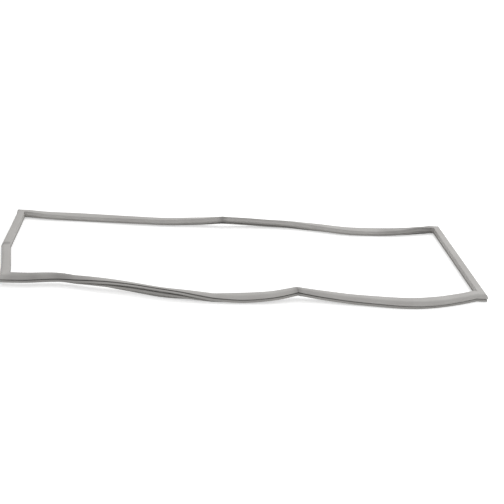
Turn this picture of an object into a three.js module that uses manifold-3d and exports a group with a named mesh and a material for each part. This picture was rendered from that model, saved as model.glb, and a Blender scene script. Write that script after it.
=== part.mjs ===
// Refrigerator door gasket: one closed loop of soft grey PVC profile, mitred and welded at its four
// corners, with a flexible magnet strip in the pocket of each side. It lies with its sealing face up
// and its dart down, still wavy and twisted from the folds that it was packed in.
// Millimetres, +Z up, +X along the long sides, the near long side at -Y.
import * as THREE from "three";
import { mergeVertices } from "three/addons/utils/BufferGeometryUtils.js";
import Module from "manifold-3d";

const wasm = await Module();
wasm.setup();

// The loop, over its outer edges.
const LOOP_LENGTH = 1250;
const LOOP_WIDTH = 498;
const NEAR_LEFT_DRAWN_IN = 31; // the wavy near side pulls its left corner in this far
const CORNER_RUN = 16; // straight, stiff stretch on each side of a weld
const WAVE = 57; // deepest bow of a side
const HUMP = 10; // highest rise of a side off the floor

// The section: u is outwards from the loop, v is up from the tip of the dart.
const PROFILE_HEIGHT = 21;
const FACE_WIDTH = 14;
const FACE_WALL = 0.9;
const FACE_ROUND = 0.9;
const WALL = 1;
const INNER_LIP = 1.5; // how far the face overhangs the inner wall
const INNER_LIP_EDGE = 1.1;
const INNER_LIP_ROOT = 1.7;
const FLAP_REACH = 9;
const FLAP_DROP = 11;
const FLAP_ROOT = 2.2;
const FLAP_TIP = 0.9;
const FLAP_FULLNESS = 0.75; // how far out the flap's curved top stays high, as a share of its reach
const BELLOWS_BULGE = 2.4;
const BELLOWS_TUCK = 3.6;
const BASE_INNER = 9;
const BASE_OUTER = 14.5;
const BASE_THICKNESS = 1.8;
const BASE_EDGE = 0.7;
const FOOT_STEP = 0.3; // the base's two feet stand proud of its middle, clear of the barbs
const FOOT_GAP = 0.6;
const SKIRT_DROP = 4.6; // the outer skirt hangs from the base and hugs the edge of the door
const SKIRT_ROOT = 1.8;
const SKIRT_TIP = 0.9;
const SKIRT_FLARE = 0.4;
const DART_OFFSET = 3;
const DART_DEPTH = 6;
const DART_STEM = 2.4;
const DART_WIDTH = 8;
const UPPER_BARB_WIDTH = 6.8;
const LOWER_BARB_HEIGHT = 0.9;
const UPPER_BARB_HEIGHT = 3.3;
const BARB_RISE = 0.9;
const BARB_THICKNESS = 1.1;

// The magnet strip and its pocket.
const MAGNET_THICKNESS = 2.7;
const MAGNET_CLEARANCE = 0.35;

// Pierced holes that let the air out of the bellows and the pocket.
const VENT_DIAMETER = 2.2;
const VENT_OFFSET = -3.2;
const VENT_SIDES = 8;

const CURVE_STEPS = 4;
const STEPS_BETWEEN_LAY_POINTS = 2;

// How each side lies. at is the share of the side from its first corner, bow is outwards from the
// straight line between the corners as a share of the wave, rise is the clearance under it as a share
// of the hump, and twist tips its outer edge up, in degrees.
const FAR_LAY = [
  { at: 0.05, bow: -0.25, rise: 0, twist: -12 },
  { at: 0.11, bow: -0.55, rise: 0, twist: 12 },
  { at: 0.17, bow: -0.66, rise: 0, twist: 20 },
  { at: 0.23, bow: -0.67, rise: 0, twist: 13 },
  { at: 0.3, bow: -0.34, rise: 0, twist: 2 },
  { at: 0.36, bow: -0.12, rise: 0, twist: -14 },
  { at: 0.425, bow: -0.11, rise: 0.1, twist: -21 },
  { at: 0.47, bow: -0.12, rise: 0.3, twist: -22 },
  { at: 0.525, bow: -0.25, rise: 0.8, twist: -18, crease: true },
  { at: 0.58, bow: -0.28, rise: 0.4, twist: -6 },
  { at: 0.67, bow: -0.39, rise: 0, twist: 3 },
  { at: 0.77, bow: -0.31, rise: 0, twist: 12 },
  { at: 0.86, bow: -0.2, rise: 0, twist: 18 },
  { at: 0.94, bow: -0.17, rise: 0, twist: 8 },
];
const LEFT_LAY = [
  { at: 0.2, bow: 0.09, rise: 0, twist: 0 },
  { at: 0.38, bow: 0.19, rise: 0.2, twist: 0 },
  { at: 0.57, bow: 0.27, rise: 0.6, twist: 0, crease: true },
  { at: 0.7, bow: 0.16, rise: 0.7, twist: 1 },
  { at: 0.86, bow: 0.04, rise: 0.8, twist: 2 },
];
const NEAR_LAY = [
  { at: 0.045, bow: -0.03, rise: 0.8, twist: 6 },
  { at: 0.11, bow: -0.18, rise: 0.8, twist: 16 },
  { at: 0.18, bow: 0.1, rise: 0.6, twist: 44 },
  { at: 0.255, bow: 0.43, rise: 0.2, twist: 68 },
  { at: 0.33, bow: 0.85, rise: 0, twist: 72 },
  { at: 0.41, bow: 1, rise: 0, twist: 34 },
  { at: 0.48, bow: 1, rise: 0, twist: 8 },
  { at: 0.545, bow: 0.85, rise: 0.4, twist: 12 },
  { at: 0.6, bow: 0.49, rise: 1, twist: 20, crease: true },
  { at: 0.655, bow: 0.62, rise: 0.4, twist: 12 },
  { at: 0.73, bow: 0.82, rise: 0, twist: 6 },
  { at: 0.82, bow: 1, rise: 0, twist: -3 },
  { at: 0.88, bow: 0.86, rise: 0, twist: -8 },
  { at: 0.94, bow: 0.44, rise: 0, twist: -4 },
];
const RIGHT_LAY = [{ at: 0.5, bow: 0, rise: 0, twist: 0 }];
const NEAR_LEFT_RISE = 0.8; // the near left corner is held off the floor, as a share of the hump,
const NEAR_LEFT_TWIST = 3; // and tipped a little

const FACE_EDGE = FACE_WIDTH / 2;
const INNER_WALL = FACE_EDGE - INNER_LIP;
const POCKET_MIDDLE = INNER_LIP / 2;
const POCKET_WIDTH = FACE_WIDTH - INNER_LIP - 2 * WALL;
const MAGNET_WIDTH = POCKET_WIDTH - 2 * MAGNET_CLEARANCE;
const POCKET_HEIGHT = MAGNET_THICKNESS + 2 * MAGNET_CLEARANCE;
const POCKET_TOP = PROFILE_HEIGHT - FACE_WALL;
const POCKET_FLOOR = POCKET_TOP - POCKET_HEIGHT;
const BELLOWS_TOP = POCKET_FLOOR - WALL;
const BASE_UNDERSIDE = DART_DEPTH;
const BASE_TOP = BASE_UNDERSIDE + BASE_THICKNESS;
const BELLOWS_MIDDLE = (BASE_TOP + BELLOWS_TOP) / 2;
const RELIEF = BASE_UNDERSIDE + FOOT_STEP;
const OUTER_REACH = FACE_EDGE + FLAP_REACH;

const pvc = new THREE.MeshStandardMaterial({ color: 0xa6a5a1, roughness: 0.62, metalness: 0 });
const ferrite = new THREE.MeshStandardMaterial({ color: 0x3a2f2b, roughness: 0.8, metalness: 0 });

// The barb whose lower edge starts at this height, on the outer side of the dart's middle.
function barb(width, height) {
  const stem = DART_STEM / 2;
  return [
    new THREE.Vector2(stem, height),
    new THREE.Vector2(width / 2, height + BARB_RISE),
    new THREE.Vector2(width / 2, height + BARB_RISE + BARB_THICKNESS / 2),
    new THREE.Vector2(stem, height + BARB_THICKNESS),
  ];
}

// The dart's outer half, from its tip up to the base.
function dartSide() {
  return [
    new THREE.Vector2(DART_STEM / 4, 0),
    ...barb(DART_WIDTH, LOWER_BARB_HEIGHT),
    ...barb(UPPER_BARB_WIDTH, UPPER_BARB_HEIGHT),
    new THREE.Vector2(DART_STEM / 2, RELIEF),
  ];
}

// The outside of the profile, anticlockwise from the tip of the dart.
function profileOutline() {
  const dart = dartSide();
  const outerHalf = dart.map((p) => new THREE.Vector2(DART_OFFSET + p.x, p.y));
  const innerHalf = dart.map((p) => new THREE.Vector2(DART_OFFSET - p.x, p.y)).reverse();
  const footStart = DART_WIDTH / 2 + FOOT_GAP;
  const skirtEdge = BASE_OUTER + SKIRT_FLARE;
  const skirtLow = BASE_UNDERSIDE - SKIRT_DROP;
  const flapTipTop = PROFILE_HEIGHT - FLAP_DROP;
  const body = new THREE.Path();
  body.moveTo(DART_OFFSET + footStart, RELIEF);
  body.lineTo(DART_OFFSET + footStart, BASE_UNDERSIDE);
  body.lineTo(BASE_OUTER - SKIRT_ROOT, BASE_UNDERSIDE);
  body.lineTo(skirtEdge - SKIRT_TIP, skirtLow);
  body.lineTo(skirtEdge, skirtLow);
  body.lineTo(BASE_OUTER, BASE_TOP - BASE_EDGE);
  body.lineTo(FACE_EDGE, BASE_TOP);
  body.lineTo(FACE_EDGE - BELLOWS_TUCK, BELLOWS_MIDDLE);
  body.lineTo(FACE_EDGE - WALL / 2, BELLOWS_TOP);
  body.lineTo(FACE_EDGE, PROFILE_HEIGHT - FACE_WALL - FLAP_ROOT);
  body.quadraticCurveTo(
    FACE_EDGE + FLAP_FULLNESS * (FLAP_REACH - FLAP_TIP),
    PROFILE_HEIGHT - FLAP_ROOT,
    OUTER_REACH - FLAP_TIP,
    flapTipTop - FLAP_TIP,
  );
  body.lineTo(OUTER_REACH, flapTipTop);
  const flapShoulder = FACE_EDGE + FLAP_FULLNESS * FLAP_REACH;
  body.quadraticCurveTo(flapShoulder, PROFILE_HEIGHT, FACE_EDGE, PROFILE_HEIGHT);
  body.lineTo(FACE_ROUND - FACE_EDGE, PROFILE_HEIGHT);
  body.quadraticCurveTo(-FACE_EDGE, PROFILE_HEIGHT, -FACE_EDGE, PROFILE_HEIGHT - FACE_ROUND);
  body.lineTo(-FACE_EDGE, PROFILE_HEIGHT - INNER_LIP_EDGE);
  body.lineTo(-INNER_WALL, PROFILE_HEIGHT - INNER_LIP_ROOT);
  body.lineTo(-INNER_WALL, BELLOWS_TOP);
  body.lineTo(-INNER_WALL - BELLOWS_BULGE, BELLOWS_MIDDLE);
  body.lineTo(-INNER_WALL, BASE_TOP);
  body.lineTo(-BASE_INNER, BASE_TOP - BASE_EDGE);
  body.lineTo(-BASE_INNER, BASE_UNDERSIDE);
  body.lineTo(DART_OFFSET - footStart, BASE_UNDERSIDE);
  body.lineTo(DART_OFFSET - footStart, RELIEF);
  return [...outerHalf, ...body.getPoints(CURVE_STEPS), ...innerHalf];
}

// The air chamber between the base and the pocket, anticlockwise.
function bellowsOutline() {
  const inner = WALL - INNER_WALL;
  const outer = FACE_EDGE - WALL;
  return [
    new THREE.Vector2(inner, BASE_TOP),
    new THREE.Vector2(outer, BASE_TOP),
    new THREE.Vector2(outer - BELLOWS_TUCK, BELLOWS_MIDDLE),
    new THREE.Vector2(outer - WALL / 2, BELLOWS_TOP),
    new THREE.Vector2(inner, BELLOWS_TOP),
    new THREE.Vector2(inner - BELLOWS_BULGE, BELLOWS_MIDDLE),
  ];
}

// A rectangle about the middle of the pocket, anticlockwise.
function pocketRectangle(width, height) {
  const middle = (POCKET_TOP + POCKET_FLOOR) / 2;
  return [
    new THREE.Vector2(POCKET_MIDDLE - width / 2, middle - height / 2),
    new THREE.Vector2(POCKET_MIDDLE + width / 2, middle - height / 2),
    new THREE.Vector2(POCKET_MIDDLE + width / 2, middle + height / 2),
    new THREE.Vector2(POCKET_MIDDLE - width / 2, middle + height / 2),
  ];
}

const OUTLINE = profileOutline();

// A section point turned by the twist about the middle of the profile.
function twisted(point, twist) {
  const middle = new THREE.Vector2(0, PROFILE_HEIGHT / 2);
  return point.clone().rotateAround(middle, THREE.MathUtils.degToRad(twist));
}

// How far a twisted section is lifted for its lowest point to clear the floor by the rise.
function lift(twist, rise) {
  return rise - Math.min(...OUTLINE.map((point) => twisted(point, twist).y));
}

// A smooth curve whose coordinates are each interpolated on their own.
function curveThrough(points) {
  return new THREE.CatmullRomCurve3(points, false, "catmullrom");
}

// The stations of one side, from its first corner up to the stretch before its last one.
function sideStations(from, to, lay) {
  const along = to.place.clone().sub(from.place);
  const length = along.length();
  along.normalize();
  const outwards = new THREE.Vector2(along.y, -along.x);
  const first = { ...from, distance: CORNER_RUN, bow: 0 };
  const last = { ...to, distance: length - CORNER_RUN, bow: 0 };
  const inner = lay.map((point) => ({
    ...point,
    distance: point.at * length,
    bow: point.bow * WAVE,
    rise: point.rise * HUMP,
  }));
  const points = [first, ...inner, last];
  const stretches = [];
  let start = 0;
  points.forEach((point, index) => {
    if (!point.crease && index < points.length - 1) return;
    if (index > start) stretches.push(points.slice(start, index + 1));
    start = index;
  });
  const stations = [{ ...from }];
  stretches.forEach((stretch, index) => {
    const route = curveThrough(stretch.map((p) => new THREE.Vector3(p.distance, p.bow, p.rise)));
    const turn = curveThrough(stretch.map((p) => new THREE.Vector3(p.distance, p.twist, 0)));
    const steps = (stretch.length - 1) * STEPS_BETWEEN_LAY_POINTS;
    for (let step = index ? 1 : 0; step <= steps; step++) {
      const p = route.getPoint(step / steps);
      stations.push({
        place: from.place.clone().addScaledVector(along, p.x).addScaledVector(outwards, p.y),
        rise: Math.max(p.z, 0),
        twist: turn.getPoint(step / steps).y,
      });
    }
  });
  return stations;
}

// Gives each station its outward direction, stretched across the turn so that walls keep their width.
function mitre(stations) {
  const count = stations.length;
  stations.forEach((station, index) => {
    const before = stations[(index + count - 1) % count].place;
    const after = stations[(index + 1) % count].place;
    const into = station.place.clone().sub(before).normalize();
    const out = after.clone().sub(station.place).normalize();
    const bisector = into.clone().add(out).normalize();
    station.outwards = new THREE.Vector2(bisector.y, -bisector.x).divideScalar(bisector.dot(into));
    station.lift = lift(station.twist, station.rise);
  });
}

// Where a section point lies at a station.
function placed(point, station) {
  const turned = twisted(point, station.twist);
  const place = station.place.clone().addScaledVector(station.outwards, turned.x);
  return new THREE.Vector3(place.x, place.y, turned.y + station.lift);
}

// A closed section carried along the stations: round the whole loop, or from end to end with flat ends.
function sweep(section, stations, round) {
  const positions = [];
  const indices = [];
  const size = section.length;
  stations.forEach((station) => {
    section.forEach((point) => positions.push(...placed(point, station).toArray()));
  });
  const spans = round ? stations.length : stations.length - 1;
  for (let span = 0; span < spans; span++) {
    const here = span * size;
    const there = ((span + 1) % stations.length) * size;
    for (let corner = 0; corner < size; corner++) {
      const next = (corner + 1) % size;
      indices.push(here + corner, there + corner, there + next);
      indices.push(here + corner, there + next, here + next);
    }
  }
  if (!round) {
    const last = (stations.length - 1) * size;
    THREE.ShapeUtils.triangulateShape(section, []).forEach(([a, b, c]) => {
      indices.push(a, b, c);
      indices.push(last + a, last + c, last + b);
    });
  }
  const geometry = new THREE.BufferGeometry();
  geometry.setAttribute("position", new THREE.Float32BufferAttribute(positions, 3));
  geometry.setIndex(indices);
  return geometry;
}

// One vent from under the base through the bellows into the pocket, as a cutter.
function ventCutter(station) {
  const low = placed(new THREE.Vector2(VENT_OFFSET, BASE_UNDERSIDE - WALL), station);
  const high = placed(new THREE.Vector2(VENT_OFFSET, POCKET_FLOOR + POCKET_HEIGHT / 2), station);
  const axis = high.clone().sub(low);
  const radius = VENT_DIAMETER / 2;
  const round = new THREE.CylinderGeometry(radius, radius, axis.length(), VENT_SIDES);
  const up = new THREE.Vector3(0, 1, 0);
  round.applyQuaternion(new THREE.Quaternion().setFromUnitVectors(up, axis.clone().normalize()));
  const middle = low.clone().addScaledVector(axis, 0.5);
  round.translate(middle.x, middle.y, middle.z);
  return round;
}

// A geometry with its shared corners merged, as a solid for cutting.
function solidFrom(geometry) {
  const bare = geometry.clone();
  bare.deleteAttribute("normal");
  bare.deleteAttribute("uv");
  const merged = mergeVertices(bare);
  return new wasm.Manifold(new wasm.Mesh({
    numProp: 3,
    vertProperties: new Float32Array(merged.attributes.position.array),
    triVerts: new Uint32Array(merged.index.array),
  }));
}

function geometryFrom(solid) {
  const mesh = solid.getMesh();
  const geometry = new THREE.BufferGeometry();
  geometry.setAttribute("position", new THREE.BufferAttribute(new Float32Array(mesh.vertProperties), 3));
  geometry.setIndex(new THREE.BufferAttribute(new Uint32Array(mesh.triVerts), 1));
  geometry.computeVertexNormals();
  return geometry;
}

// Corners of the line that the section is carried along, so that the flap's tip reaches the outer size.
const lineX = LOOP_LENGTH / 2 - OUTER_REACH;
const lineY = LOOP_WIDTH / 2 - OUTER_REACH;
const nearRight = { place: new THREE.Vector2(lineX, -lineY), rise: 0, twist: 0 };
const farRight = { place: new THREE.Vector2(lineX, lineY), rise: 0, twist: 0 };
const farLeft = { place: new THREE.Vector2(-lineX, lineY), rise: 0, twist: 0 };
const nearLeft = {
  place: new THREE.Vector2(NEAR_LEFT_DRAWN_IN - lineX, -lineY),
  rise: NEAR_LEFT_RISE * HUMP,
  twist: NEAR_LEFT_TWIST,
};
const sides = [
  { name: "right", stations: sideStations(nearRight, farRight, RIGHT_LAY) },
  { name: "far", stations: sideStations(farRight, farLeft, FAR_LAY) },
  { name: "left", stations: sideStations(farLeft, nearLeft, LEFT_LAY) },
  { name: "near", stations: sideStations(nearLeft, nearRight, NEAR_LAY) },
];
const loopStations = sides.flatMap((side) => side.stations);
mitre(loopStations);

// The profile: the swept outside, less the bellows chamber, the pocket and the vents.
function gasketProfile() {
  let solid = solidFrom(sweep(OUTLINE, loopStations, true));
  const hollows = [bellowsOutline(), pocketRectangle(POCKET_WIDTH, POCKET_HEIGHT)];
  hollows.forEach((hollow) => {
    solid = solid.subtract(solidFrom(sweep(hollow, loopStations, true)));
  });
  sides.forEach(({ stations }) => {
    const middle = stations[Math.floor(stations.length / 2)];
    solid = solid.subtract(solidFrom(ventCutter(middle)));
  });
  const mesh = new THREE.Mesh(geometryFrom(solid), pvc);
  mesh.name = "gasket_profile";
  return mesh;
}

// The magnet strip of one side, which stops short of the welds at both ends.
function magnetStrip({ name, stations }) {
  const section = pocketRectangle(MAGNET_WIDTH, MAGNET_THICKNESS);
  const geometry = sweep(section, stations.slice(1), false);
  geometry.computeVertexNormals();
  const mesh = new THREE.Mesh(geometry, ferrite);
  mesh.name = "magnet_" + name;
  return mesh;
}

const loop = new THREE.Group();
loop.add(gasketProfile(), ...sides.map(magnetStrip));

// The part stands on the floor with its box centred over the origin.
const box = new THREE.Box3().setFromObject(loop);
const centre = box.getCenter(new THREE.Vector3());
loop.position.set(-centre.x, -centre.y, -box.min.z);
const part = new THREE.Group();
part.add(loop);

export default part;
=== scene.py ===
"""Refrigerator door gasket: a loop of grey PVC profile lying face up on a white surface."""
import math
from typing import NamedTuple

import bpy
from bpy.props import FloatProperty, FloatVectorProperty, IntProperty, PointerProperty
from mathutils import Euler, Matrix, Vector


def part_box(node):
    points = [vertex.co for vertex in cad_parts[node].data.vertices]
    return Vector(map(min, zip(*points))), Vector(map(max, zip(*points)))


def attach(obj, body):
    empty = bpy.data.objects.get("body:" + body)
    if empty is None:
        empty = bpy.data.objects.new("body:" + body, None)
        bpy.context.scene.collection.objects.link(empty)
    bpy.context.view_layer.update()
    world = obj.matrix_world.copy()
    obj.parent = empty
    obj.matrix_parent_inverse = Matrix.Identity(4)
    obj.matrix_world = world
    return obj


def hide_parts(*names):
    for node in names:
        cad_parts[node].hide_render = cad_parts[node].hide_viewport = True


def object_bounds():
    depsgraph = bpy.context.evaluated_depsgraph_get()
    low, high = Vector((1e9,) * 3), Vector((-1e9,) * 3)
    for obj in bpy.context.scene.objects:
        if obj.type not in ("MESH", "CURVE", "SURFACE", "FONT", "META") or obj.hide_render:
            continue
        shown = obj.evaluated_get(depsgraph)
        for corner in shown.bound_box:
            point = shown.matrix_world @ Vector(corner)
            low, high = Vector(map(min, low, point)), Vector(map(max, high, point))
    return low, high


bl_info = {
    "name": "Refrigerator Door Gasket",
    "version": (1, 0, 0),
    "blender": (4, 5, 0),
    "location": "3D View > Sidebar > Gasket",
    "description": "Builds a wavy door gasket loop, its magnet strips and the surface it lies on",
    "category": "Add Mesh",
}

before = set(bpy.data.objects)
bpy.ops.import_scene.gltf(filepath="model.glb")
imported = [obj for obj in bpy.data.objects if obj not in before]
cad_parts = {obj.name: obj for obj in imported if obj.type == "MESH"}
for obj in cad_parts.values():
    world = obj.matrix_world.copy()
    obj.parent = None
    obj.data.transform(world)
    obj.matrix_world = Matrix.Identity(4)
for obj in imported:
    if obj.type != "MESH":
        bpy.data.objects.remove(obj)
CAD_BOX = [list(corner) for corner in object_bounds()]

# Points along the curves of the section.
FLAP_STEPS = 8
ROUND_STEPS = 2
ROUND_SHARE = 0.45  # a rounding takes at most this share of the edges beside it

# Marks of the PVC, in cells to the metre: along the profile, then across it where they differ.
MOTTLE_CELLS = 14
GRAIN_CELLS = 1400
RIPPLE_CELLS = 70
DRAW_LINE_CELLS = (2.5, 900)
SCUFF_CELLS = (60, 320)
WRINKLE_CELLS = (260, 60)

# Depths of those marks, in metres.
DRAW_LINE_DEPTH = 0.00012
GRAIN_DEPTH = 0.00005
RIPPLE_DEPTH = 0.0006
WRINKLE_DEPTH = 0.002

# How much lighter or darker than the PVC its marks are.
SCUFF_TONE = 1.28
# Painted shade for the turned stretches of the sides.
PAINTED_SHADE_TONE = 0.62
WELD_TONE = 0.86
# Painted shade in the creases.
CREASE_PAINTED_SHADE_TONE = 0.5

# Marks of the magnet rubber.
BLOOM_CELLS = 90
BLOOM_TONE = 2.4
SPECKLE_CELLS = 2200
SPECKLE_DEPTH = 0.00008


class LayPoint(NamedTuple):
    """How a side lies at one place along it."""

    at: float  # share of the side from its first corner
    bow: float  # outwards from the straight line between the corners, as a share of the wave
    rise: float  # clearance under the profile, as a share of the hump
    twist: float  # degrees that tip the outer edge up
    crease: bool = False


RIGHT_LAY = (LayPoint(0.5, 0, 0, 0),)
FAR_LAY = (
    LayPoint(0.05, -0.25, 0, -12),
    LayPoint(0.11, -0.55, 0, 12),
    LayPoint(0.17, -0.66, 0, 20),
    LayPoint(0.23, -0.67, 0, 13),
    LayPoint(0.3, -0.34, 0, 2),
    LayPoint(0.36, -0.12, 0, -14),
    LayPoint(0.425, -0.11, 0.1, -21),
    LayPoint(0.47, -0.12, 0.3, -22),
    LayPoint(0.525, -0.25, 0.8, -18, crease=True),
    LayPoint(0.58, -0.28, 0.4, -6),
    LayPoint(0.67, -0.39, 0, 3),
    LayPoint(0.77, -0.31, 0, 12),
    LayPoint(0.86, -0.2, 0, 18),
    LayPoint(0.94, -0.17, 0, 8),
)
LEFT_LAY = (
    LayPoint(0.2, 0.09, 0, 0),
    LayPoint(0.38, 0.19, 0.2, 0),
    LayPoint(0.57, 0.27, 0.6, 0, crease=True),
    LayPoint(0.7, 0.16, 0.7, 1),
    LayPoint(0.86, 0.04, 0.8, 2),
)
NEAR_LAY = (
    LayPoint(0.045, -0.03, 0.8, 6),
    LayPoint(0.11, -0.18, 0.8, 16),
    LayPoint(0.18, 0.1, 0.6, 44),
    LayPoint(0.255, 0.43, 0.2, 68),
    LayPoint(0.33, 0.85, 0, 72),
    LayPoint(0.41, 1, 0, 34),
    LayPoint(0.48, 1, 0, 8),
    LayPoint(0.545, 0.85, 0.4, 12),
    LayPoint(0.6, 0.49, 1, 20, crease=True),
    LayPoint(0.655, 0.62, 0.4, 12),
    LayPoint(0.73, 0.82, 0, 6),
    LayPoint(0.82, 1, 0, -3),
    LayPoint(0.88, 0.86, 0, -8),
    LayPoint(0.94, 0.44, 0, -4),
)


class PaintedShadeStretch(NamedTuple):
    """A stretch of a side with painted shade, darker than the rest, where the strip is turned and its side
    wall is seen.
    """

    middle: float  # share of the side from its first corner
    reach: float  # from there to where the painted shade ends, as a share of the side
    depth: float  # 1 is the darkest painted shade


# Painted shade: stretches darkened where the strip is turned and its side wall is seen.
FAR_PAINTED_SHADE = (PaintedShadeStretch(0.055, 0.1, 1.0), PaintedShadeStretch(0.49, 0.06, 0.25))
NEAR_PAINTED_SHADE = (PaintedShadeStretch(0.07, 0.13, 1.0), PaintedShadeStretch(0.61, 0.07, 0.35))


def size(name, description, default):
    """A length in metres, for a property group."""
    return FloatProperty(name=name, description=description, default=default, unit="LENGTH", precision=5)


def spot(name, description, default):
    """A place in metres, for a property group."""
    return FloatVectorProperty(name=name, description=description, default=default, subtype="TRANSLATION")


def colour(name, description, default):
    """A linear colour, for a property group."""
    return FloatVectorProperty(
        name=name, description=description, default=default, subtype="COLOR", size=3, min=0, max=1
    )


class GasketLoopSettings(bpy.types.PropertyGroup):
    loop_length: size("Loop length", "Over the outer edges of the short sides", 1.250)
    loop_width: size("Loop width", "Over the outer edges of the long sides", 0.498)
    drawn_in: size("Near left drawn in", "How far the wavy near side pulls its left corner in", 0.031)
    left_rise: FloatProperty(
        name="Near left rise", description="Clearance under that corner, as a share of the hump", default=0.8
    )
    left_twist: FloatProperty(
        name="Near left twist", description="Degrees that tip that corner's outer edge up", default=3
    )
    wave: size("Wave", "Deepest bow of a side", 0.057)
    hump: size("Hump", "Highest rise of a side off the surface", 0.010)
    corner_run: size("Corner run", "Straight, stiff stretch on each side of a weld", 0.016)
    weld_bead: size("Weld bead", "How far the flash of a corner weld stands proud", 0.0002)
    weld_half_width: size("Weld half width", "Half the width of the flash of a weld", 0.0009)
    # A crease's marks are bump wrinkles and painted shade.
    crease_reach: size("Crease reach", "How far the marks of a crease run to each side of it", 0.014)
    steps: IntProperty(
        name="Steps", description="Sections from one lay point to the next", default=12, min=2
    )


class GasketSectionSettings(bpy.types.PropertyGroup):
    height: size("Height", "From the tip of the dart to the sealing face", 0.021)
    face_width: size("Face width", "Flat sealing face over the magnet", 0.014)
    face_wall: size("Face wall", "Skin between the magnet and the face", 0.0009)
    face_round: size("Face rounding", "Radius along the inner edge of the face", 0.0009)
    wall: size("Wall", "Walls of the bellows and the pocket", 0.001)
    inner_lip: size("Inner lip", "How far the face overhangs the inner wall", 0.0015)
    lip_edge: size("Inner lip edge", "Thickness of that lip at its edge", 0.0011)
    lip_root: size("Inner lip root", "Thickness of that lip at the wall", 0.0017)
    magnet_height: size("Pocket height", "Inside height of the magnet pocket", 0.0034)
    flap_reach: size("Flap reach", "Outer flap, past the edge of the face", 0.009)
    flap_drop: size("Flap drop", "How far the tip of the flap hangs", 0.011)
    flap_root: size("Flap root", "Thickness of the flap where it springs", 0.0022)
    flap_tip: size("Flap tip", "Thickness of the flap at its edge", 0.0009)
    flap_fullness: FloatProperty(
        name="Flap fullness", description="Share of its reach at which the flap stays high", default=0.75
    )
    bellows_bulge: size("Bellows bulge", "How far the inner fold stands out", 0.0024)
    bellows_tuck: size("Bellows tuck", "How far the outer fold is drawn in", 0.0036)
    fold_round: size("Fold rounding", "Radius of the bellows folds", 0.0007)
    base_inner: size("Base inner", "Reach of the base inwards from the middle", 0.009)
    base_outer: size("Base outer", "Reach of the base outwards from the middle", 0.0145)
    base_thickness: size("Base thickness", "Thickness of the base", 0.0018)
    base_edge: size("Base edge", "How far the base thins to its edges", 0.0007)
    foot_step: size("Foot step", "How far the feet of the base stand proud", 0.0003)
    foot_gap: size("Foot gap", "From the barbs' edge to the feet", 0.0006)
    skirt_drop: size("Skirt drop", "How far the outer skirt hangs", 0.0046)
    skirt_root: size("Skirt root", "Thickness of the skirt at the base", 0.0018)
    skirt_tip: size("Skirt tip", "Thickness of the skirt at its edge", 0.0009)
    skirt_flare: size("Skirt flare", "How far the skirt leans outwards", 0.0004)
    edge_round: size("Edge rounding", "Radius of the small outside edges", 0.0003)
    dart_offset: size("Dart offset", "From the middle of the face out to the dart", 0.003)
    dart_depth: size("Dart depth", "From the feet to the tip of the dart", 0.006)
    dart_stem: size("Dart stem", "Thickness of the dart between its barbs", 0.0024)
    dart_width: size("Dart width", "Over the lower barbs", 0.008)
    upper_barb_width: size("Upper barb width", "Over the upper barbs", 0.0068)
    lower_barb: size("Lower barb height", "Where the lower barbs spring", 0.0009)
    upper_barb: size("Upper barb height", "Where the upper barbs spring", 0.0033)
    barb_rise: size("Barb rise", "How far a barb slopes up to its edge", 0.0009)
    barb_thickness: size("Barb thickness", "At the stem", 0.0011)


class GasketFinishSettings(bpy.types.PropertyGroup):
    pvc: colour("PVC", "Light grey of the profile", (0.53, 0.52, 0.5))
    pvc_shade: colour("PVC shade", "The greyer tone of its mottling", (0.46, 0.445, 0.43))
    # Painted shade: the base, skirt and dart are darkened to stand in for the shade under the flap.
    pvc_painted_base_shade: colour("PVC base", "Darker grey of the stiffer base, skirt and dart", (0.36, 0.35, 0.335))
    magnet: colour("Magnet", "Dark brown of the ferrite rubber", (0.035, 0.028, 0.025))


class GasketStageSettings(bpy.types.PropertyGroup):
    floor: colour("Floor", "White of the surface", (0.86, 0.86, 0.86))
    floor_reach: size("Floor reach", "From the middle of the surface to its edges", 20)
    floor_glow: FloatProperty(
        name="Floor glow", description="Light that the surface adds of its own", default=0.5
    )
    room_light: FloatProperty(name="Room light", description="Even light from all round", default=0.64)
    window_place: spot("Window place", "Where the lamp behind stands", (1.4, 1.6, 2.8))
    window_width: size("Window width", "Across the lamp behind", 2.6)
    window_power: FloatProperty(name="Window power", description="Watts of the lamp behind", default=42)
    fill_place: spot("Fill place", "Where the lamp in front stands", (-0.6, -3.0, 2.0))
    fill_width: size("Fill width", "Across the lamp in front", 2.4)
    fill_power: FloatProperty(name="Fill power", description="Watts of the lamp in front", default=6)
    camera_place: spot("Camera place", "Where the camera stands", (-0.1897, -2.3546, 0.9811))
    heading: FloatProperty(
        name="Heading", description="Turned to the right of straight ahead", default=math.radians(5.538),
        subtype="ANGLE",
    )
    pitch: FloatProperty(
        name="Pitch", description="Below the horizon", default=math.radians(22.004), subtype="ANGLE"
    )
    roll: FloatProperty(
        name="Roll", description="Tilt of the frame", default=math.radians(4.217), subtype="ANGLE"
    )
    lens: FloatProperty(name="Lens", description="Focal length in millimetres", default=67.857)
    sensor: FloatProperty(name="Sensor", description="Width of the sensor in millimetres", default=36)


class Value:
    """A number in a material: Python arithmetic on it adds Math nodes."""

    def __init__(self, finish, socket):
        self.finish = finish
        self.socket = socket

    def maths(self, operation, *operands):
        return self.finish.node("ShaderNodeMath", {"operation": operation}, dict(enumerate(operands)))

    def __add__(self, other):
        return self.maths("ADD", self, other)

    def __radd__(self, other):
        return self.maths("ADD", other, self)

    def __mul__(self, other):
        return self.maths("MULTIPLY", self, other)

    def __rmul__(self, other):
        return self.maths("MULTIPLY", other, self)


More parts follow.
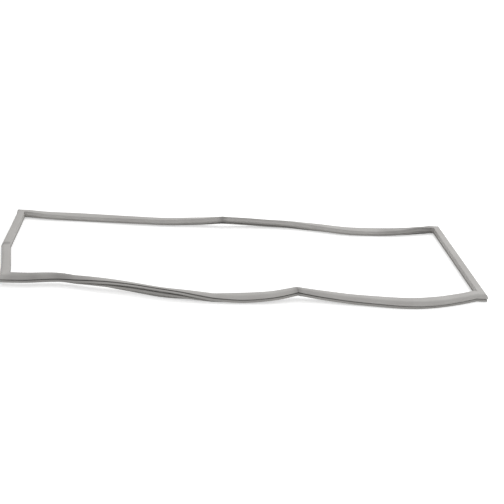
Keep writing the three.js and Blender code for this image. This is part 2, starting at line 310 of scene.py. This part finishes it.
class Finish:
    """A material being put together."""

    def __init__(self, name):
        self.material = bpy.data.materials.new(name)
        self.material.use_nodes = True
        self.tree = self.material.node_tree
        self.tree.nodes.clear()

    def node(self, kind, settings, values, output=0):
        """Adds a node, sets it, fills its sockets by name or number, and gives one output."""
        made = self.tree.nodes.new(kind)
        for name, setting in settings.items():
            if name == "stops":
                self.fill_ramp(made.color_ramp, setting)
            else:
                setattr(made, name, setting)
        for name, value in values.items():
            if isinstance(value, Value):
                self.tree.links.new(value.socket, made.inputs[name])
            else:
                made.inputs[name].default_value = value
        return Value(self, made.outputs[output])

    @staticmethod
    def fill_ramp(ramp, stops):
        for index, (place, shade) in enumerate(stops):
            stop = ramp.elements[index] if index < 2 else ramp.elements.new(place)
            stop.position = place
            stop.color = (shade, shade, shade, 1)

    def ramp(self, factor, stops):
        """A grey ramp from (place, level) stops."""
        return self.node("ShaderNodeValToRGB", {"stops": stops}, {"Fac": factor})

    def mix(self, factor, first, second):
        """A blend of two colours."""
        settings = {"data_type": "RGBA"}
        values = {0: factor, 6: first, 7: second}
        return self.node("ShaderNodeMix", settings, values, output=2)

    def noise(self, vector, scale, detail=2.0, roughness=0.5):
        values = {"Vector": vector, "Scale": scale, "Detail": detail, "Roughness": roughness}
        return self.node("ShaderNodeTexNoise", {}, values)

    def attribute(self, name):
        return self.node("ShaderNodeAttribute", {"attribute_name": name}, {}, output=2)

    def vector(self, x, y, z):
        return self.node("ShaderNodeCombineXYZ", {}, {"X": x, "Y": y, "Z": z})

    def place(self):
        """The point on the object, in metres."""
        return self.node("ShaderNodeTexCoord", {}, {}, output=3)

    def bump(self, height, strength, distance, normal=None):
        values = {"Height": height, "Strength": strength, "Distance": distance}
        if normal:
            values["Normal"] = normal
        return self.node("ShaderNodeBump", {}, values)

    def end(self, shader):
        output = self.tree.nodes.new("ShaderNodeOutputMaterial")
        self.tree.links.new(shader.socket, output.inputs["Surface"])
        return self.material


def rgba(shade):
    """A setting's colour, for a colour socket."""
    return (*shade, 1)


def toned(shade, tone):
    """A setting's colour made lighter or darker, for a colour socket."""
    return rgba(min(1, level * tone) for level in shade)


def grey_pvc(settings):
    """Soft extruded PVC: mottled, with draw lines, scuffs, weld lines and creases, and painted shade on the
    base, skirt and dart, on turned stretches and in the creases.
    """
    finish = Finish("grey_pvc")
    run = finish.attribute("run")
    girth = finish.attribute("girth")
    mottle = finish.noise(finish.place(), MOTTLE_CELLS, detail=4)
    cloud = finish.ramp(mottle, [(0.35, 0), (0.65, 1)])
    lengthwise, crosswise = DRAW_LINE_CELLS
    drawn = finish.vector(run * lengthwise, girth * crosswise, 0)
    lines = finish.noise(drawn, 1, detail=3, roughness=0.6)
    lengthwise, crosswise = SCUFF_CELLS
    rubbed = finish.noise(finish.vector(run * lengthwise, girth * crosswise, 3), 1, detail=5)
    scuff = finish.ramp(rubbed, [(0.6, 0), (0.74, 1)])
    base = finish.mix(cloud * 0.55 + lines * 0.35, rgba(settings.pvc), rgba(settings.pvc_shade))
    scuffed = finish.mix(scuff * 0.3, base, toned(settings.pvc, SCUFF_TONE))
    # Painted shade under the flap: the base, skirt and dart are darkened.
    with_base_shade = finish.mix(finish.attribute("base") * 0.8, scuffed, rgba(settings.pvc_painted_base_shade))
    # Painted shade on the turned stretches, broken up by the mottle.
    painted_shade_amount = finish.attribute("painted_shade") * (0.55 + cloud * 0.3)
    with_painted_shade = finish.mix(painted_shade_amount, with_base_shade, toned(settings.pvc_shade, PAINTED_SHADE_TONE))
    welded = finish.mix(finish.attribute("weld") * 0.5, with_painted_shade, toned(settings.pvc_shade, WELD_TONE))
    crease = finish.attribute("crease")
    lengthwise, crosswise = WRINKLE_CELLS
    wrinkle = finish.noise(finish.vector(run * lengthwise, girth * crosswise, 5), 1, detail=3)
    # Painted shade in the creases, broken up by the wrinkles, which also bump the surface below.
    crease_shade = crease * (0.25 + wrinkle * 0.9)
    coloured = finish.mix(crease_shade, welded, toned(settings.pvc_shade, CREASE_PAINTED_SHADE_TONE))
    grain = finish.noise(finish.place(), GRAIN_CELLS, detail=2)
    ripple = finish.noise(finish.vector(run, girth, 0), RIPPLE_CELLS, detail=2)
    draw = finish.bump(lines, 0.35, DRAW_LINE_DEPTH)
    skin = finish.bump(grain, 0.18, GRAIN_DEPTH, draw)
    creased = finish.bump(crease * wrinkle, 0.6, WRINKLE_DEPTH, skin)
    soft = finish.bump(ripple, 0.25, RIPPLE_DEPTH, creased)
    roughness = 0.5 + cloud * 0.08 + scuff * 0.12 + lines * 0.06
    values = {"Base Color": coloured, "Roughness": roughness, "Normal": soft, "Specular IOR Level": 0.4}
    return finish.end(finish.node("ShaderNodeBsdfPrincipled", {}, values))


def magnet_rubber(settings):
    """Ferrite powder in rubber: nearly black brown, speckled, with a chalky bloom."""
    finish = Finish("magnet_rubber")
    place = finish.place()
    bloom = finish.ramp(finish.noise(place, BLOOM_CELLS, detail=5), [(0.45, 0), (0.7, 1)])
    speckle = finish.noise(place, SPECKLE_CELLS, detail=2)
    chalky = bloom * 0.5 + speckle * 0.2
    coloured = finish.mix(chalky, rgba(settings.magnet), toned(settings.magnet, BLOOM_TONE))
    normal = finish.bump(speckle, 0.3, SPECKLE_DEPTH)
    values = {"Base Color": coloured, "Roughness": 0.7 + bloom * 0.15, "Normal": normal}
    return finish.end(finish.node("ShaderNodeBsdfPrincipled", {}, values))


def white_floor(settings):
    """A white surface that keeps the object's shadow and still reads as plain white."""
    finish = Finish("white_floor")
    path = finish.node("ShaderNodeLightPath", {}, {})
    rays = path.socket.node.outputs
    seen, mirrored, through = (
        Value(finish, rays[name]) for name in ("Is Camera Ray", "Is Glossy Ray", "Is Transmission Ray")
    )
    glow = (seen + mirrored + through) * settings.floor_glow
    values = {"Base Color": rgba(settings.floor), "Roughness": 0.9, "Specular IOR Level": 0.0}
    values["Emission Color"] = finish.mix(glow, (0, 0, 0, 1), (1, 1, 1, 1))
    values["Emission Strength"] = 1
    return finish.end(finish.node("ShaderNodeBsdfPrincipled", {}, values))


def quadratic(start, control, end, steps):
    """Points of a quadratic curve, without its start."""
    points = []
    for step in range(1, steps + 1):
        t = step / steps
        points.append(start * (1 - t) ** 2 + control * (2 * t * (1 - t)) + end * t**2)
    return points


def rounded(points, radii):
    """A closed outline with its corners rounded; radii gives each corner's radius."""
    outline = []
    count = len(points)
    for index, (corner, radius) in enumerate(zip(points, radii)):
        if not radius:
            outline.append(corner)
            continue
        back = points[index - 1] - corner
        ahead = points[(index + 1) % count] - corner
        reach = min(radius, ROUND_SHARE * back.length, ROUND_SHARE * ahead.length)
        start = corner + back.normalized() * reach
        end = corner + ahead.normalized() * reach
        outline.append(start)
        outline.extend(quadratic(start, corner, end, ROUND_STEPS))
    return outline


def barb(stem, width, height, section):
    """The outer corners of one barb, from the stem and back to it."""
    edge = height + section.barb_rise
    return [
        Vector((stem, height)),
        Vector((width / 2, edge)),
        Vector((width / 2, edge + section.barb_thickness / 2)),
        Vector((stem, height + section.barb_thickness)),
    ]


def profile_outline(section):
    """The outside of the profile, anticlockwise from the tip of the dart: u outwards, v up."""
    stem = section.dart_stem / 2
    small = section.edge_round
    fold = section.fold_round
    edge = section.face_width / 2
    wall = edge - section.inner_lip
    reach = edge + section.flap_reach
    low = section.dart_depth
    relief = low + section.foot_step
    top = low + section.base_thickness
    bellows_top = section.height - section.face_wall - section.magnet_height - section.wall
    middle = (top + bellows_top) / 2
    tip = section.height - section.flap_drop
    foot = section.dart_width / 2 + section.foot_gap
    skirt = section.base_outer + section.skirt_flare
    skirt_low = low - section.skirt_drop
    root = section.height - section.face_wall - section.flap_root
    full = section.flap_fullness
    dart = [Vector((stem / 2, 0))]
    dart += barb(stem, section.dart_width, section.lower_barb, section)
    dart += barb(stem, section.upper_barb_width, section.upper_barb, section)
    dart.append(Vector((stem, relief)))
    dart_radii = [small, 0, small, small, 0, 0, small, small, 0, small]
    under_end = Vector((reach - section.flap_tip, tip - section.flap_tip))
    inner_fullness = full * (section.flap_reach - section.flap_tip)
    under_bend = Vector((edge + inner_fullness, section.height - section.flap_root))
    under = quadratic(Vector((edge, root)), under_bend, under_end, FLAP_STEPS)
    over_start = Vector((reach, tip))
    over_bend = Vector((edge + full * section.flap_reach, section.height))
    over = quadratic(over_start, over_bend, Vector((edge, section.height)), FLAP_STEPS)
    outer = [
        (section.dart_offset + foot, relief, 0),
        (section.dart_offset + foot, low, small),
        (section.base_outer - section.skirt_root, low, small),
        (skirt - section.skirt_tip, skirt_low, small),
        (skirt, skirt_low, small),
        (section.base_outer, top - section.base_edge, small),
        (edge, top, fold),
        (edge - section.bellows_tuck, middle, fold),
        (edge - section.wall / 2, bellows_top, fold),
        (edge, root, fold),
    ]
    inner = [
        (-edge, section.height, section.face_round),
        (-edge, section.height - section.lip_edge, small),
        (-wall, section.height - section.lip_root, small),
        (-wall, bellows_top, fold),
        (-wall - section.bellows_bulge, middle, fold),
        (-wall, top, fold),
        (-section.base_inner, top - section.base_edge, small),
        (-section.base_inner, low, small),
        (section.dart_offset - foot, low, small),
        (section.dart_offset - foot, relief, 0),
    ]
    axis = section.dart_offset
    corners = [(axis + point.x, point.y, radius) for point, radius in zip(dart, dart_radii)]
    corners += outer
    corners += [(point.x, point.y, 0) for point in under]
    corners.append((over_start.x, over_start.y, small))
    corners += [(point.x, point.y, 0) for point in over]
    corners += inner
    mirrored = zip(reversed(dart), reversed(dart_radii))
    corners += [(axis - point.x, point.y, radius) for point, radius in mirrored]
    return rounded([Vector((u, v)) for u, v, _ in corners], [radius for _, _, radius in corners])


def proud(outline, distance):
    """The outline pushed out along its own normals."""
    pushed = []
    for index, point in enumerate(outline):
        along = (outline[(index + 1) % len(outline)] - outline[index - 1]).normalized()
        pushed.append(point + Vector((along.y, -along.x)) * distance)
    return pushed


def turned(point, twist, height):
    """A section point turned by the twist about the middle of the profile."""
    angle = math.radians(twist)
    u = point.x
    v = point.y - height / 2
    across = u * math.cos(angle) - v * math.sin(angle)
    up = u * math.sin(angle) + v * math.cos(angle)
    return Vector((across, up + height / 2))


def smooth(points, index, t):
    """A point of the curve through the points, t of the way from this one to the next."""
    here = points[index]
    there = points[index + 1]
    before = points[index - 1] if index else 2 * here - there
    after = points[index + 2] if index + 2 < len(points) else 2 * there - here
    leave = (there - before) / 2
    arrive = (after - here) / 2
    bend = 3 * (there - here) - 2 * leave - arrive
    return here + leave * t + bend * t**2 + (2 * (here - there) + leave + arrive) * t**3


class Station:
    """One section of the loop: where it stands, how it is tipped, and which way is outwards."""

    def __init__(self, place, rise, twist, weld=False, crease=0.0, painted_shade=0.0):
        self.place = place
        self.rise = rise
        self.twist = twist
        self.weld = weld
        self.crease = crease
        self.painted_shade = painted_shade
        self.outwards = None


class Corner(NamedTuple):
    """How a welded corner lies."""

    place: Vector
    rise: float
    twist: float


def painted_shade_at(share, stretches):
    """How deep the painted shade on a side is at a share of its length: full in the middle of a stretch, none
    at its ends.
    """
    return sum(
        stretch.depth * max(0.0, 1 - ((share - stretch.middle) / stretch.reach) ** 2) for stretch in stretches
    )


def side_stations(start, end, lay, loop, shaded_stretches=()):
    """The stations of one side, from its first corner up to the stretch before its last one."""
    along = end.place - start.place
    length = along.length
    along.normalize()
    outwards = Vector((along.y, -along.x))
    points = [LayPoint(loop.corner_run / length, 0, start.rise, start.twist)]
    points += lay
    points.append(LayPoint(1 - loop.corner_run / length, 0, end.rise, end.twist))
    stretches = []
    first = 0
    for index, point in enumerate(points):
        if index > first and (point.crease or index == len(points) - 1):
            stretches.append(points[first : index + 1])
            first = index
    creases = [point.at * length for point in lay if point.crease]
    stations = [Station(start.place, start.rise * loop.hump, start.twist, weld=True)]
    for stretch in stretches:
        lays = [Vector((p.at * length, p.bow * loop.wave, p.rise * loop.hump, p.twist)) for p in stretch]
        for index in range(len(lays) - 1):
            for step in range(loop.steps):
                here = smooth(lays, index, step / loop.steps)
                place = start.place + along * here.x + outwards * here.y
                away = min((abs(here.x - at) for at in creases), default=loop.crease_reach)
                crease = max(0.0, 1 - away / loop.crease_reach)
                # How deep the painted shade is here.
                painted_shade = painted_shade_at(here.x / length, shaded_stretches)
                stations.append(Station(place, max(here.z, 0), here.w, crease=crease, painted_shade=painted_shade))
    last = lays[-1]
    stations.append(Station(start.place + along * last.x, last.z, last.w))
    return stations


def mitred(stations):
    """Gives each station its outward direction, stretched to keep the walls' width."""
    count = len(stations)
    for index, station in enumerate(stations):
        into = (station.place - stations[index - 1].place).normalized()
        out = (stations[(index + 1) % count].place - station.place).normalized()
        bisector = (into + out).normalized()
        station.outwards = Vector((bisector.y, -bisector.x)) / bisector.dot(into)


def with_beads(stations, half_width):
    """Adds a plain section just before and just after each weld, in the weld's own plane."""
    full = []
    count = len(stations)
    for index, station in enumerate(stations):
        if not station.weld:
            full.append(station)
            continue
        into = (station.place - stations[index - 1].place).normalized()
        out = (stations[(index + 1) % count].place - station.place).normalized()
        before = Station(station.place - into * half_width, station.rise, station.twist)
        after = Station(station.place + out * half_width, station.rise, station.twist)
        before.outwards = station.outwards
        after.outwards = station.outwards
        full += [before, station, after]
    return full


def loop_stations(loop, section):
    """All the stations, anticlockwise from the near right corner, in the frame of the solids."""
    reach = section.face_width / 2 + section.flap_reach
    x = loop.loop_length / 2 - reach
    y = loop.loop_width / 2 - reach
    low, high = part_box("magnet_right")
    line = (low[0] + high[0] - section.inner_lip) / 2
    shift = Vector((line - x, (low[1] + high[1]) / 2))
    near_right = Corner(Vector((x, -y)) + shift, 0, 0)
    far_right = Corner(Vector((x, y)) + shift, 0, 0)
    far_left = Corner(Vector((-x, y)) + shift, 0, 0)
    near_left = Corner(Vector((loop.drawn_in - x, -y)) + shift, loop.left_rise, loop.left_twist)
    stations = side_stations(near_right, far_right, RIGHT_LAY, loop)
    stations += side_stations(far_right, far_left, FAR_LAY, loop, FAR_PAINTED_SHADE)
    stations += side_stations(far_left, near_left, LEFT_LAY, loop)
    stations += side_stations(near_left, near_right, NEAR_LAY, loop, NEAR_PAINTED_SHADE)
    mitred(stations)
    return with_beads(stations, loop.weld_half_width)


def add_object(name, vertices, faces, material, attributes):
    """A smooth-shaded mesh object with named numbers on its points."""
    mesh = bpy.data.meshes.new(name)
    mesh.from_pydata(vertices, [], faces)
    mesh.validate()
    for key, numbers in attributes.items():
        layer = mesh.attributes.new(key, "FLOAT", "POINT")
        layer.data.foreach_set("value", numbers)
    mesh.materials.append(material)
    mesh.shade_smooth()
    obj = bpy.data.objects.new(name, mesh)
    bpy.context.scene.collection.objects.link(obj)
    return obj


def within_box(place, height):
    """A point of the skin, brought back to the solids' box where a bead or a finer curve passes it."""
    low, high = CAD_BOX
    return tuple(min(max(value, least), most) for value, least, most in zip((*place, height), low, high))


class GASKET_OT_profile(bpy.types.Operator):
    """Carries the profile's section round the loop, with its waves, twists and welded corners"""

    bl_idname = "gasket.profile"
    bl_label = "Build Profile"

    def execute(self, context):
        section = context.scene.gasket_section
        loop = context.scene.gasket_loop
        stations = loop_stations(loop, section)
        outline = profile_outline(section)
        beaded = proud(outline, loop.weld_bead)
        girths = [0.0]
        for here, there in zip(outline, outline[1:]):
            girths.append(girths[-1] + (there - here).length)
        vertices = []
        runs = []
        welds = []
        creases = []
        painted_shades = []
        low = section.dart_depth + section.base_thickness
        # The base, skirt and dart, which get painted shade under the flap.
        base_shade_mask = [1.0 if point.y < low else 0.0 for point in outline]
        run = 0.0
        previous = stations[0].place
        for station in stations:
            run += (station.place - previous).length
            previous = station.place
            flat = [turned(point, station.twist, section.height) for point in outline]
            lift = station.rise - min(point.y for point in flat)
            used = beaded if station.weld else outline
            for point in used:
                tipped = turned(point, station.twist, section.height)
                place = station.place + station.outwards * tipped.x
                vertices.append(within_box(place, tipped.y + lift))
            runs += [run] * len(outline)
            welds += [1.0 if station.weld else 0.0] * len(outline)
            creases += [station.crease] * len(outline)
            painted_shades += [station.painted_shade] * len(outline)
        around = len(outline)
        faces = []
        for index in range(len(stations)):
            here = index * around
            there = (index + 1) % len(stations) * around
            for corner in range(around):
                after = (corner + 1) % around
                faces.append((here + corner, there + corner, there + after, here + after))
        attributes = {"run": runs, "girth": girths * len(stations), "base": base_shade_mask * len(stations)}
        attributes |= {"weld": welds, "crease": creases, "painted_shade": painted_shades}
        material = grey_pvc(context.scene.gasket_finish)
        profile = add_object("profile_skin", vertices, faces, material, attributes)
        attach(profile, "root")
        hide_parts("gasket_profile")
        return {"FINISHED"}


class GASKET_OT_magnets(bpy.types.Operator):
    """Finishes the four magnet strips inside the pocket"""

    bl_idname = "gasket.magnets"
    bl_label = "Finish Magnets"

    def execute(self, context):
        material = magnet_rubber(context.scene.gasket_finish)
        for side in ("near", "far", "left", "right"):
            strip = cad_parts["magnet_" + side]
            for slot in strip.material_slots:
                slot.material = material
        return {"FINISHED"}


class GASKET_OT_stage(bpy.types.Operator):
    """Lays the white surface and sets the lamps and the camera"""

    bl_idname = "gasket.stage"
    bl_label = "Set Stage"

    def execute(self, context):
        stage = context.scene.gasket_stage
        reach = stage.floor_reach
        corners = [(-reach, -reach, 0), (reach, -reach, 0), (reach, reach, 0), (-reach, reach, 0)]
        mesh = bpy.data.meshes.new("white_surface")
        mesh.from_pydata(corners, [], [(0, 1, 2, 3)])
        mesh.materials.append(white_floor(stage))
        floor = bpy.data.objects.new("white_surface", mesh)
        context.scene.collection.objects.link(floor)
        self.add_world(context.scene, stage.room_light)
        self.add_lamp(context.scene, "window", stage.window_place, stage.window_width, stage.window_power)
        self.add_lamp(context.scene, "front_fill", stage.fill_place, stage.fill_width, stage.fill_power)
        self.add_camera(context.scene, stage)
        return {"FINISHED"}

    @staticmethod
    def add_world(scene, strength):
        world = bpy.data.worlds.new("white_room")
        world.use_nodes = True
        tree = world.node_tree
        background = tree.nodes["Background"]
        background.inputs["Strength"].default_value = 1
        path = tree.nodes.new("ShaderNodeLightPath")
        shade = tree.nodes.new("ShaderNodeMix")
        shade.data_type = "RGBA"
        shade.inputs[6].default_value = (strength, strength, strength, 1)
        shade.inputs[7].default_value = (1, 1, 1, 1)
        tree.links.new(path.outputs["Is Camera Ray"], shade.inputs[0])
        tree.links.new(shade.outputs[2], background.inputs["Color"])
        scene.world = world

    @staticmethod
    def add_lamp(scene, name, place, width, power):
        light = bpy.data.lights.new(name, "AREA")
        light.shape = "DISK"
        light.size = width
        light.energy = power
        lamp = bpy.data.objects.new(name, light)
        lamp.location = place
        lamp.rotation_euler = Vector(place).to_track_quat("Z", "Y").to_euler()
        scene.collection.objects.link(lamp)

    @staticmethod
    def add_camera(scene, stage):
        data = bpy.data.cameras.new("camera")
        data.lens = stage.lens
        data.sensor_width = stage.sensor
        camera = bpy.data.objects.new("camera", data)
        level = Euler((math.pi / 2 - stage.pitch, 0, -stage.heading)).to_matrix()
        turned_frame = level @ Matrix.Rotation(stage.roll, 3, "Z")
        camera.location = stage.camera_place
        camera.rotation_euler = turned_frame.to_euler()
        scene.collection.objects.link(camera)
        scene.camera = camera


class GASKET_PT_panel(bpy.types.Panel):
    bl_label = "Door Gasket"
    bl_idname = "GASKET_PT_panel"
    bl_space_type = "VIEW_3D"
    bl_region_type = "UI"
    bl_category = "Gasket"

    def draw(self, context):
        for operator in OPERATORS:
            self.layout.operator(operator.bl_idname)


OPERATORS = (GASKET_OT_profile, GASKET_OT_magnets, GASKET_OT_stage)
SETTINGS = {
    "gasket_loop": GasketLoopSettings,
    "gasket_section": GasketSectionSettings,
    "gasket_finish": GasketFinishSettings,
    "gasket_stage": GasketStageSettings,
}
CLASSES = (*SETTINGS.values(), *OPERATORS, GASKET_PT_panel)


def register():
    for cls in CLASSES:
        bpy.utils.register_class(cls)
    for name, group in SETTINGS.items():
        setattr(bpy.types.Scene, name, PointerProperty(type=group))


def unregister():
    for name in SETTINGS:
        delattr(bpy.types.Scene, name)
    for cls in reversed(CLASSES):
        bpy.utils.unregister_class(cls)


def main():
    register()
    bpy.context.scene.view_settings.view_transform = "Standard"
    bpy.ops.gasket.profile()
    bpy.ops.gasket.magnets()
    bpy.ops.gasket.stage()


if __name__ == "__main__":
    main()
